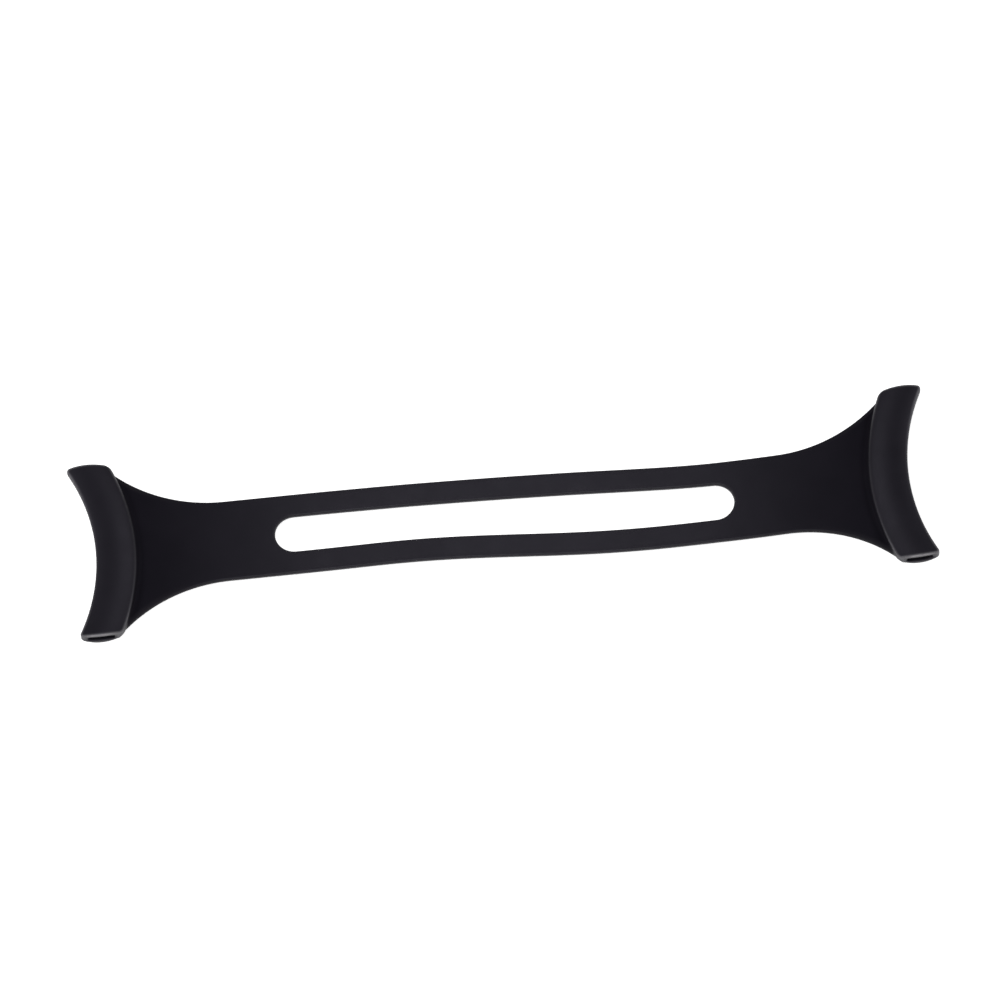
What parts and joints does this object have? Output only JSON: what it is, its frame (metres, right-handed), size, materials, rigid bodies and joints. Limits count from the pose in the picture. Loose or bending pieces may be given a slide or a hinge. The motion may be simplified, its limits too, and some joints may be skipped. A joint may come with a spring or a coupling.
{
  "type": "eyeglasses retainer strap",
  "caption": "Soft black silicone eyeglasses retainer strap: slotted flat band flaring into yokes that end in curved hollow sleeves for the temple tips.",
  "frame": {"origin": "on the resting surface, under the centre of the strap laid flat", "axes": "+X along the strap towards its right sleeve, +Y across the band, +Z out of the front face"},
  "size_m": [0.2, 0.0434, 0.0041],
  "materials": {
    "silicone": "matte black moulded silicone"
  },
  "bodies": {
    "centre_rails": {"upper_rail_centre": "silicone", "lower_rail_centre": "silicone"},
    "left_inner_rails": {"upper_rail_left_inner": "silicone", "lower_rail_left_inner": "silicone"},
    "left_outer_rails": {"upper_rail_left_outer": "silicone", "lower_rail_left_outer": "silicone"},
    "left_yoke": {"left_yoke": "silicone"},
    "left_sleeve": {"left_temple_sleeve_upper": "silicone", "left_temple_sleeve_lower": "silicone"},
    "right_inner_rails": {"upper_rail_right_inner": "silicone", "lower_rail_right_inner": "silicone"},
    "right_outer_rails": {"upper_rail_right_outer": "silicone", "lower_rail_right_outer": "silicone"},
    "right_yoke": {"right_yoke": "silicone"},
    "right_sleeve": {"right_temple_sleeve_upper": "silicone", "right_temple_sleeve_lower": "silicone"}
  },
  "joints": [
    {"name": "right_inner_flex", "type": "hinge", "parent": "centre_rails", "child": "right_inner_rails", "pos_m": [0.00975, 0, 0.00135], "axis": [0, -1, 0], "range_deg": [-35, 35], "stiffness_Nm_per_rad": 0.00021},
    {"name": "right_outer_flex", "type": "hinge", "parent": "right_inner_rails", "child": "right_outer_rails", "pos_m": [0.02925, 0, 0.00135], "axis": [0, -1, 0], "range_deg": [-35, 35], "stiffness_Nm_per_rad": 0.00021},
    {"name": "right_yoke_flex", "type": "hinge", "parent": "right_outer_rails", "child": "right_yoke", "pos_m": [0.04875, 0, 0.00135], "axis": [0, -1, 0], "range_deg": [-35, 35], "stiffness_Nm_per_rad": 0.00024},
    {"name": "right_sleeve_flex", "type": "hinge", "parent": "right_yoke", "child": "right_sleeve", "pos_m": [0.08296, 0, 0.00135], "axis": [0, -1, 0], "range_deg": [-35, 35], "stiffness_Nm_per_rad": 0.00068},
    {"name": "left_inner_flex", "type": "hinge", "parent": "centre_rails", "child": "left_inner_rails", "pos_m": [-0.00975, 0, 0.00135], "axis": [0, 1, 0], "range_deg": [-35, 35], "stiffness_Nm_per_rad": 0.00021},
    {"name": "left_outer_flex", "type": "hinge", "parent": "left_inner_rails", "child": "left_outer_rails", "pos_m": [-0.02925, 0, 0.00135], "axis": [0, 1, 0], "range_deg": [-35, 35], "stiffness_Nm_per_rad": 0.00021},
    {"name": "left_yoke_flex", "type": "hinge", "parent": "left_outer_rails", "child": "left_yoke", "pos_m": [-0.04875, 0, 0.00135], "axis": [0, 1, 0], "range_deg": [-35, 35], "stiffness_Nm_per_rad": 0.00024},
    {"name": "left_sleeve_flex", "type": "hinge", "parent": "left_yoke", "child": "left_sleeve", "pos_m": [-0.08296, 0, 0.00135], "axis": [0, 1, 0], "range_deg": [-35, 35], "stiffness_Nm_per_rad": 0.00068}
  ]
}
